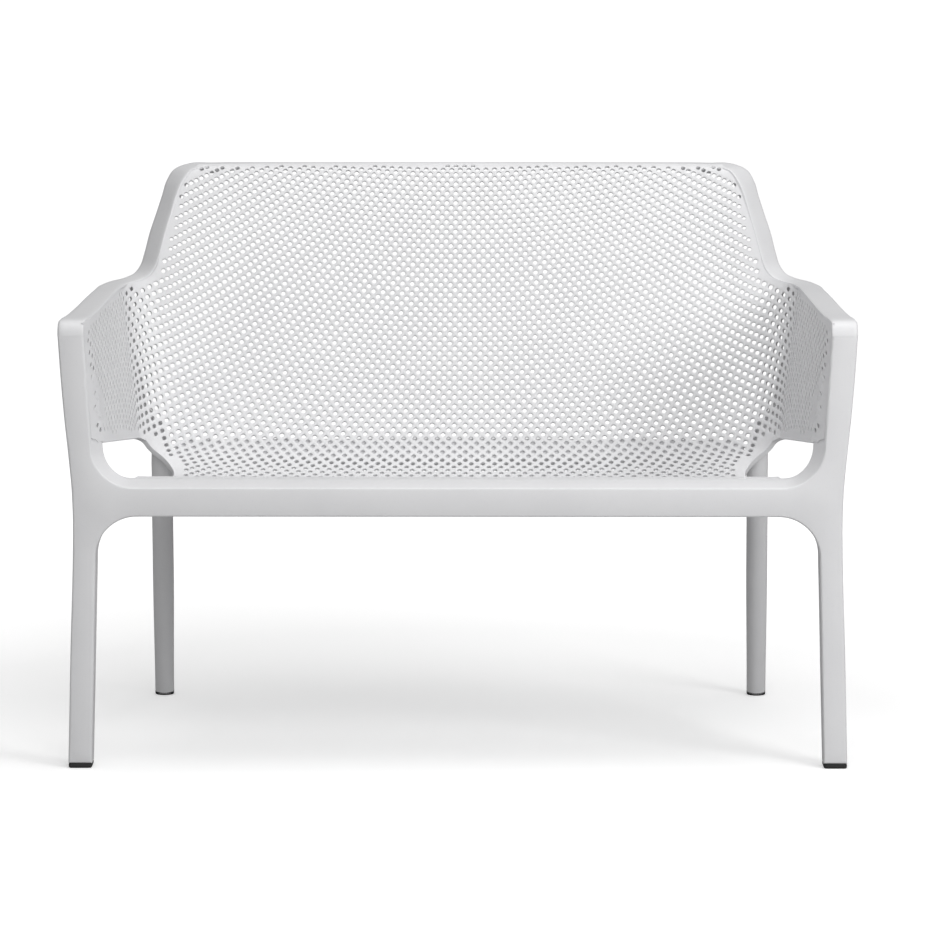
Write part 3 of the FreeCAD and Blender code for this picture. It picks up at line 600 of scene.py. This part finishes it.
def net_pieces():
    """The net's pieces, cut along whole cells. A margin triangle goes with its nearest hole."""
    column, row = HOLES.T
    side, wide = np.sign(column + 0.5), np.abs(column)
    regions = [("seat_net", (row < SEAT_ROW) & (wide <= ARM_COLUMN), "seat_panel"),
               ("lower_back_net", (row >= SEAT_ROW) & (row < WAIST_ROW) & (wide <= ARM_COLUMN),
                "lower_back_panel"),
               ("upper_back_net", (row >= WAIST_ROW) & (wide <= ARM_COLUMN), "upper_back_panel"),
               ("arm_net", wide > ARM_COLUMN, "arm_panel")]
    spots = np.stack(lattice(column.astype(float), row.astype(float)), 1)
    middles = NET_VERTS[NET_TRIS].mean(1)
    blocks = np.array_split(middles, 60)
    owner = np.concatenate([((block[:, None] - spots) ** 2).sum(2).argmin(1) for block in blocks])
    for name, region, panel in regions:
        for word, here in (("left", side < 0), ("right", side > 0)):
            mask = region & here
            if name == "arm_net":
                nodes = ["%s_%s" % (word, panel)]
            else:
                nodes = [panel] if word == "left" else []
            if name == "lower_back_net" and word == "right":
                nodes = ["seat_bend_panel"]
            net_piece("%s_%s" % (word, name), HOLES[mask], NET_TRIS[mask[owner]], nodes)


net_pieces()

# ---------------------------------------------------------------- rim and armrests

def corner_arc(centre, radius, first, last, count=4):
    """Points of a quarter round in the section's plane."""
    angle = np.radians(np.linspace(first, last, count))
    return np.stack([centre[0] + radius * np.cos(angle), centre[1] + radius * np.sin(angle)], 1)


def flange_section(width, thick, lip, crown):
    """Section of the flange, a from the inner edge and b up from the top face: a lip over the net's edge, a
    crowned top, a rounded outer edge, and the underside. The roundings shrink where the flange is thin."""
    edge, deep = min(4.0, 0.45 * thick), min(1.0, 0.14 * thick)
    top_a = np.linspace(2.2, width - edge, 7)
    top = np.stack([top_a, crown * 4 * (top_a / width) * (1 - top_a / width)], 1)
    inner = np.array([[3.4, -5.2 * deep], [0.4 - lip * 0.4, -5.0 * deep], [-lip * 0.9, -4.1 * deep],
                      [-lip, -2.6 * deep], [0.3 - lip * 0.9, -1.0 * deep], [0.9, -0.15]])
    outer = corner_arc((width - edge, -edge), edge, 80.0, 0.0)
    low = min(3.0, 0.4 * thick)
    under = corner_arc((width - low, low - thick), low, 0.0, -90.0)
    return np.concatenate([inner, top, outer, under, [[width * 0.5, -thick], [5.0, -thick]]])


def rim_band():
    """The rim and both armrests as one band: the flange's section carried from the right leg's bend over the
    arm, round the corner, up and along the top, and down the other side."""
    bend = []
    for angle in np.radians(np.linspace(0.0, 75.0, 6)):
        y, z = -300.5 - 22.0 * np.cos(angle), 633.0 + 22.0 * np.sin(angle)
        bend.append(((539.0, y, z), (577.0, y, z)))
    run = np.array(bend + [tuple(map(tuple, pair)) for pair in RIM])
    middle = np.array([((200.0, 300.5, 842.5), (201.0, 322.3, 845)),
                       ((100.0, 303.2, 842.5), (100.0, 322.5, 845)),
                       ((0.0, 304.0, 842.5), (0.0, 322.5, 845))])
    half = np.concatenate([run, middle])
    whole = np.concatenate([half, half[-2::-1] * [-1, 1, 1]])
    count = 560
    centre = whole.mean(1)
    inner, outer = (through(whole[:, side], count, centre) for side in (0, 1))
    along = np.gradient(inner + outer, axis=0)
    along /= np.linalg.norm(along, axis=1, keepdims=True)
    out = outer - inner
    width = np.linalg.norm(out, axis=1)
    out = out / width[:, None]
    up = np.cross(out, along)
    up /= np.linalg.norm(up, axis=1, keepdims=True)
    place = np.minimum(np.arange(count), count - 1 - np.arange(count)) / (count / 2.0)
    at_arm = 1 - smooth((place - 0.40) / 0.12)
    at_top = smooth((place - 0.66) / 0.08)
    lip = 1.5 * smooth(place / 0.05) * (1 - 0.6 * at_top)
    thick = 14.0 + 9.0 * at_arm - 9.6 * at_top
    thick = np.minimum(thick, 21.8 + 60 * place)
    rings = []
    for k in range(count):
        flat = flange_section(width[k], thick[k], lip[k], 0.5 + 1.2 * at_top[k])
        rings.append(inner[k] + flat[:, :1] * out[k] + flat[:, 1:] * up[k])
    verts, faces = tube_mesh(np.array(rings))
    make_piece("rim_band", verts, faces, RESIN,
               ["left_armrest", "right_armrest", "left_back_rim", "right_back_rim", "top_rim"])


rim_band()

# ---------------------------------------------------------------- front frame

def frame_outline():
    """Outline of the frame seen from the front, right half, from the rail's lower middle round the leg to the
    rail's upper middle. Each row holds x and z at the front, then x, z and depth at the back."""
    rows = []

    def add(front_xz, back_xz=None):
        front_xz = np.asarray(front_xz, float)
        back_xz = front_xz if back_xz is None else np.asarray(back_xz, float)
        depth = -276.5 - 8.0 * np.clip((370.0 - back_xz[:, 1]) / 363.0, 0.0, 1.0)
        rows.append(np.column_stack([front_xz, back_xz, depth]))
    x = np.linspace(0.0, 465.0, 48)[:-1]
    add(np.column_stack([x, np.full(len(x), 370.0)]))
    turn = np.radians(np.linspace(90.0, 0.0, 17))
    add(np.column_stack([465.0 + 60.0 * np.cos(turn), 310.0 + 60.0 * np.sin(turn)]))
    add(through([(525.2, 300), (527.5, 220), (530.5, 110), (533.5, 7.0)], 24))
    add(np.column_stack([np.linspace(540.5, 561.0, 4), np.full(4, 7.0)]))
    add(through([(568.0, 7.0), (563.2, 170), (558.4, 310), (557.6, 365), (559.0, 410), (563.2, 460), (568.2, 511),
                 (573.2, 575), (577.0, 637)], 60))
    level = np.linspace(0.0, 1.0, 22)
    front_z, back_z = 637.0 - 164.0 * level, 637.0 - 167.0 * level
    back_x = 534.0 - 17.5 * (1 - (1 - level) ** 1.3)
    add(np.column_stack([539.2 - 9.2 * level, front_z]), np.column_stack([back_x, back_z]))
    turn = np.radians(np.linspace(0.0, 90.0, 19))[1:]
    add(np.column_stack([469.0 + 61.0 * np.cos(turn), 474.0 - 61.0 * np.sin(turn)]),
        np.column_stack([474.0 + 42.5 * np.cos(turn), 470.0 - 48.4 * np.sin(turn)]))
    x = np.linspace(469.0, 0.0, 48)[1:]
    add(np.column_stack([x, np.full(len(x), 413.0)]), np.column_stack([x * 474.0 / 469.0, np.full(len(x), 421.6)]))
    return np.concatenate(rows)


def front_frame():
    """Front legs, gussets and rail as one skin: the front outline's edge is rounded, side faces run back to the
    rear outline with the crest's crown on the rail, and the rear edge is rounded again."""
    half = frame_outline()
    flip = half[1:-1][::-1] * [-1, 1, -1, 1, 1]
    loop = np.concatenate([half, flip])
    x, z, back_x, back_z, depth = loop.T
    ahead = np.roll(loop[:, :2], -1, 0) - loop[:, :2]
    ahead /= np.linalg.norm(ahead, axis=1, keepdims=True)
    behind = np.roll(ahead, 1, 0)
    mitre = (ahead + behind) / (1 + (ahead * behind).sum(1, keepdims=True))
    outward = np.column_stack([mitre[:, 1], -mitre[:, 0]])
    edge = 4.0
    crest = smooth((z - 405.0) / 6.0) * smooth((500.0 - np.abs(x)) / 40.0) * (z < 430.0)
    rebate = 5.2 * smooth((back_z - 474.0) / 12.0) * (np.abs(x) < 545.0) * (z > 440.0)
    rings = []
    for angle in np.radians([0.0, 30.0, 60.0, 90.0]):
        inset = edge * (1 - np.sin(angle))
        rings.append(np.column_stack([x - outward[:, 0] * inset, np.full(len(x), FRONT + edge * (1 - np.cos(angle))),
                                      z - outward[:, 1] * inset]))
    front_y = FRONT + edge

    def between(share, aside=0.0):
        crown = 1.9 * 4 * share * (1 - share) * crest
        px = x + (back_x - x) * share + np.sign(x) * aside
        return np.column_stack([px, front_y + (depth - 3.0 - front_y) * share, z + (back_z - z) * share + crown])
    steps_in = [between(share, rebate) for share in (0.25, 0.5, 0.75)]
    groove = (-317.0 - front_y) / (-279.5 - front_y)
    rings += [between(groove), between(groove + 0.01, rebate)] + steps_in + [between(1.0, rebate)]
    last = rings[-1]
    for angle in np.radians([45.0, 90.0]):
        inset = 3.0 * (1 - np.cos(angle))
        rings.append(np.column_stack([last[:, 0] - outward[:, 0] * inset, depth - 3.0 + 3.0 * np.sin(angle),
                                      last[:, 2] - outward[:, 1] * inset]))
    count, levels = len(loop), len(rings)
    ids = np.arange(count * levels).reshape(levels, count)
    verts = np.concatenate(rings)
    faces = [strip_faces(ids, True)]
    caps = []
    for ring, flip_caps in ((ids[0], False), (ids[-1], True)):
        flat = verts[ring][:, [0, 2]]
        out = delaunay_2d_cdt([Vector(point) for point in flat], [], [list(range(count))], 1, 1e-6)
        if len(out[0]) != count:
            raise RuntimeError("the frame's outline crosses itself")
        order = np.array([source[0] for source in out[3]])
        tris = ring[order[np.array(out[2])]]
        caps.append(tris[:, ::-1] if flip_caps else tris)
    caps = orient_caps(verts, caps)
    make_piece("front_frame", verts, [faces[0], caps], RESIN,
               ["front_rail", "left_front_leg", "right_front_leg"], 30.0)


def orient_caps(verts, caps):
    """Front cap facing forwards and rear cap facing backwards, to agree with the skin's winding."""
    turned = []
    for tris, want in zip(caps, (1.0, -1.0)):
        a, b, c = verts[tris[:, 0]], verts[tris[:, 1]], verts[tris[:, 2]]
        facing = np.cross(b - a, c - a)[:, 1]
        turned.append(np.where((facing * want > 0)[:, None], tris, tris[:, ::-1]))
    return np.concatenate(turned)


front_frame()

# ---------------------------------------------------------------- rear legs, beams, feet

def ring_tube(path, radii, points=28):
    """Rings of circles square to a path, with radii along it."""
    along = np.gradient(path, axis=0)
    along /= np.linalg.norm(along, axis=1, keepdims=True)
    side = np.cross(along, [1.0, 0.0, 0.0])
    side /= np.linalg.norm(side, axis=1, keepdims=True)
    other = np.cross(along, side)
    turn = np.arange(points) * 2 * math.pi / points
    return (path[:, None] + radii[:, None, None] * (np.cos(turn)[None, :, None] * side[:, None]
                                                    + np.sin(turn)[None, :, None] * other[:, None]))


# The upper leg's line: heights, places along the tub's section, and distances behind the tub's inner face.
# Its top draws in and narrows so that it ends inside the rim.
LEG_HEIGHTS = np.array([478.0, 520.0, 560.0, 600.0, 656.0])
LEG_ALONG = np.array([481.0, 492.0, 503.0, 514.0, 522.0])
LEG_GAP = np.array([29.5, 29.5, 29.5, 27.0, 20.0])


def rear_legs():
    """Rear legs: round tubes on a smooth line from the foot, under the corner and up behind it into the rim."""
    line = [(471.0, 290.0, 7.0), (468.3, 248.0, 105.0), (465.0, 199.0, 222.0), (462.0, 152.0, 330.0),
            (461.0, 138.0, 385.0), (463.0, 140.0, 424.0)]
    u = u_at_height(LEG_HEIGHTS)
    behind = tub(LEG_ALONG, u) - LEG_GAP[:, None] * tub_normal(LEG_ALONG, u)
    path = through(np.concatenate([line, behind]), 90)
    share = np.linspace(0.0, 1.0, 90)
    radii = 15.0 + 1.5 * smooth(share * 3) - 3.0 * smooth((share - 0.9) / 0.1)
    right = tube_mesh(ring_tube(path, radii))
    for name, part in (("right_rear_leg_tube", right), ("left_rear_leg_tube", mirrored(*right))):
        make_piece(name, part[0], part[1], RESIN, [name.replace("_tube", "")])


def rounded(corners, radius, steps=5):
    """Closed outline with each corner replaced by a quadratic curve of that reach."""
    corners = np.asarray(corners, float)
    out = []
    for before, corner, after in zip(np.roll(corners, 1, 0), corners, np.roll(corners, -1, 0)):
        a = corner + (before - corner) * min(radius / np.linalg.norm(before - corner), 0.45)
        b = corner + (after - corner) * min(radius / np.linalg.norm(after - corner), 0.45)
        t = np.linspace(0.0, 1.0, steps)[:, None]
        out.append((1 - t) ** 2 * a + 2 * t * (1 - t) * corner + t ** 2 * b)
    return np.concatenate(out)


def cross_beam():
    """Beam behind the bend: its front face follows the net's far face, and its edges are rounded."""
    u = float(u_at_height(402.0)) + np.array([0.0, 1.2, 4.0, 12.0, 20.0, 28.0, 33.0, 36.0, 37.2])
    front = SHEET + np.array([4.0, 1.5, 0.05, 0.05, 0.05, 0.05, 0.05, 1.5, 4.0])
    rings = []
    for s in np.linspace(-438.0, 438.0, 61):
        face, normal = tub(np.full(9, s), u), tub_normal(np.full(9, s), u)
        back = 26.0 + SHEET - np.array([4.0, 1.5, 0.0, 0.0, 0.0, 0.0, 0.0, 1.5, 4.0])
        rings.append(np.concatenate([face - front[:, None] * normal, (face - back[:, None] * normal)[::-1]]))
    verts, faces = tube_mesh(np.array(rings))
    make_piece("rear_beam_bar", verts, faces, RESIN, ["rear_cross_beam"])


def seat_beams():
    """Side beams and middle ribs under the seat, carried along the net's outer face."""
    for names, across, width, drop, until in ((("left_seat_beam", "right_seat_beam"), None, 12.0, 20.0, 394.0),
                                              (("left_seat_rib", "right_seat_rib"), 150.0, 6.0, 24.0, 440.0)):
        u = np.linspace(U_CREST, until, 40)
        s = seat_edge(u) - 12.0 if across is None else np.full(40, across - width / 2)
        top = tub(s, u) - (SHEET + 0.1) * tub_normal(s, u)
        flat = rounded([(0, 0), (width, 0), (width - 1.0, -drop), (1.0, -drop)], 2.5)
        rings = top[:, None] + np.stack([flat[:, 0], 0 * flat[:, 0], flat[:, 1]], 1)[None]
        right = tube_mesh(rings)
        for name, part in ((names[1], right), (names[0], mirrored(*right))):
            make_piece(name + "_rail", part[0], part[1], RESIN, [name])


def opening_lips():
    """Turned edge round each side opening: the sheet's edge is folded to its far side and rounded."""
    seat, low, _, _, _ = tub_outline()
    places = through(np.concatenate([seat[2:], low]), 170)
    edge, normal = tub(places[:, 0], places[:, 1]), tub_normal(places[:, 0], places[:, 1])
    along = np.gradient(edge, axis=0)
    out = np.cross(along, normal)
    out /= np.linalg.norm(out, axis=1, keepdims=True)
    flat = rounded([(-2.4, 0.25), (1.3, 0.25), (1.3, -9.0), (-1.9, -9.0)], 1.3)
    rings = edge[:, None] + flat[None, :, :1] * out[:, None] + flat[None, :, 1:] * normal[:, None]
    right = tube_mesh(rings)
    for name, part in (("right_opening_lip", right), ("left_opening_lip", mirrored(*right))):
        make_piece(name, part[0], part[1], RESIN)


def lathe(profile_points, centre, turns=40):
    """Surface of revolution about the upright line through centre, closed at both ends."""
    flat = np.asarray(profile_points, float)
    turn = np.arange(turns) * 2 * math.pi / turns
    rings = np.stack([np.column_stack([centre[0] + radius * np.cos(turn), centre[1] + radius * np.sin(turn),
                                       np.full(turns, z)]) for radius, z in flat])
    return tube_mesh(rings)


def rubber_feet():
    """Front pads are rounded blocks the size of the leg; rear pads are ringed discs."""
    flat = rounded([(533.7, -322.3), (567.8, -322.3), (567.8, -284.7), (533.7, -284.7)], 5.0)
    middle = flat.mean(0)
    levels = ((0.84, 0.0), (0.93, 0.25), (0.975, 1.0), (0.995, 2.2), (1.0, 3.5), (1.0, 5.4), (0.97, 5.8),
              (0.965, 7.1))
    rings = np.array([np.column_stack([middle + (flat - middle) * scale, np.full(len(flat), z)])
                      for scale, z in levels])
    right = tube_mesh(rings)
    for name, part in (("front_right_pad", right), ("front_left_pad", mirrored(*right))):
        make_piece(name, part[0], part[1], RUBBER, [name.replace("pad", "foot")])
    disc = [(12.5, 0.0), (14.0, 0.3), (14.9, 1.2), (15.0, 2.2), (14.3, 2.6), (14.3, 2.9), (15.0, 3.3),
            (15.0, 4.6), (14.3, 5.0), (14.3, 5.3), (15.0, 5.7), (15.0, 6.6), (14.6, 7.4)]
    right = lathe(disc, (471.0, 290.0))
    for name, part in (("rear_right_pad", right), ("rear_left_pad", mirrored(*right))):
        make_piece(name, part[0], part[1], RUBBER, [name.replace("pad", "foot")])


rear_legs()
cross_beam()
seat_beams()
opening_lips()
rubber_feet()

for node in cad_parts.values():
    node.data.materials.clear()
    node.data.materials.append(RUBBER if node.name.endswith("_foot") else RESIN)

# ---------------------------------------------------------------- floor, lights, camera

# Glow and tone of the floor that only the camera sees, for a white ground: they weaken the shadows on it. The
# glow grows from its first value near the bench to its second further out.
FLOOR_GLOW = (0.34, 0.74)
SURROUND = 0.34
LENS, SENSOR = 173.71552, 36.0
CAMERA_PLACE, CAMERA_DOWN, CAMERA_TURN = (0.044, -6.742, 1.269), 7.29, 0.31


def studio():
    """Pale floor that curves up into a backdrop, a soft key from the right, a fill and an even surround."""
    turn = np.linspace(0.0, math.pi / 2, 24)[1:]
    y = np.concatenate([np.linspace(-9.0, 5.0, 30), 5.0 + 3.0 * np.sin(turn), np.full(6, 8.0)])
    z = np.concatenate([np.zeros(30), 3.0 - 3.0 * np.cos(turn), np.linspace(4.0, 9.0, 6)])
    x = np.linspace(-9.0, 9.0, 3)
    grid = np.stack([np.repeat(x[:, None], len(y), 1), np.repeat(y[None], 3, 0), np.repeat(z[None], 3, 0)], -1)
    mesh = bpy.data.meshes.new("floor")
    numbers = np.arange(grid.shape[0] * grid.shape[1]).reshape(grid.shape[:2])
    mesh.from_pydata(grid.reshape(-1, 3).tolist(), [], strip_faces(numbers)[:, ::-1].tolist())
    mesh.shade_smooth()
    material = bpy.data.materials.new("pale_floor")
    material.use_nodes = True
    tree = material.node_tree
    shader = tree.nodes["Principled BSDF"]
    shader.inputs["Roughness"].default_value = 0.9
    shader.inputs["Specular IOR Level"].default_value = 0.1
    shader.inputs["Emission Color"].default_value = (1.0, 1.0, 1.0, 1.0)
    seen = add_node(tree, "ShaderNodeLightPath")
    tone = mix_colour(tree, seen.outputs["Is Camera Ray"], (0.5, 0.5, 0.5, 1.0), (0.9, 0.9, 0.9, 1.0))
    tree.links.new(tone, shader.inputs["Base Color"])
    where = add_node(tree, "ShaderNodeTexCoord").outputs["Object"]
    away = add_node(tree, "ShaderNodeVectorMath", [(0, where)], operation="LENGTH")
    pool = ranged(tree, away.outputs["Value"], 0.9, 2.2, *FLOOR_GLOW)
    glow = add_node(tree, "ShaderNodeMath", [(0, seen.outputs["Is Camera Ray"]), (1, pool)], operation="MULTIPLY")
    tree.links.new(glow.outputs[0], shader.inputs["Emission Strength"])
    mesh.materials.append(material)
    floor = bpy.data.objects.new("floor", mesh)
    bpy.context.scene.collection.objects.link(floor)
    world = bpy.data.worlds.new("surround")
    world.use_nodes = True
    world.node_tree.nodes["Background"].inputs["Color"].default_value = (1.0, 1.0, 1.0, 1.0)
    world.node_tree.nodes["Background"].inputs["Strength"].default_value = SURROUND
    bpy.context.scene.world = world
    for name, place, aim, size, power in (
            ("key", (2.3, -2.3, 1.7), (0.3, 0.0, 0.5), 1.2, 36.0),
            ("front_fill", (0.3, -4.6, 1.8), (0.0, 0.0, 0.5), 2.4, 50.0),
            ("top", (0.2, -0.3, 3.6), (0.0, 0.1, 0.3), 2.6, 56.0)):
        light = bpy.data.lights.new(name, "AREA")
        light.energy, light.size = power, size
        lamp = bpy.data.objects.new(name, light)
        lamp.location = place
        lamp.rotation_euler = (Vector(aim) - Vector(place)).to_track_quat("-Z", "Y").to_euler()
        bpy.context.scene.collection.objects.link(lamp)


def camera():
    """Long lens from the front, a little above the arms."""
    data = bpy.data.cameras.new("camera")
    data.sensor_width, data.lens = SENSOR, LENS
    data.clip_end = 100.0
    view = bpy.data.objects.new("camera", data)
    view.location = CAMERA_PLACE
    view.rotation_euler = (math.radians(90.0 - CAMERA_DOWN), 0.0, math.radians(CAMERA_TURN))
    bpy.context.scene.collection.objects.link(view)
    bpy.context.scene.camera = view


studio()
camera()
bpy.context.scene.view_settings.view_transform = "Standard"
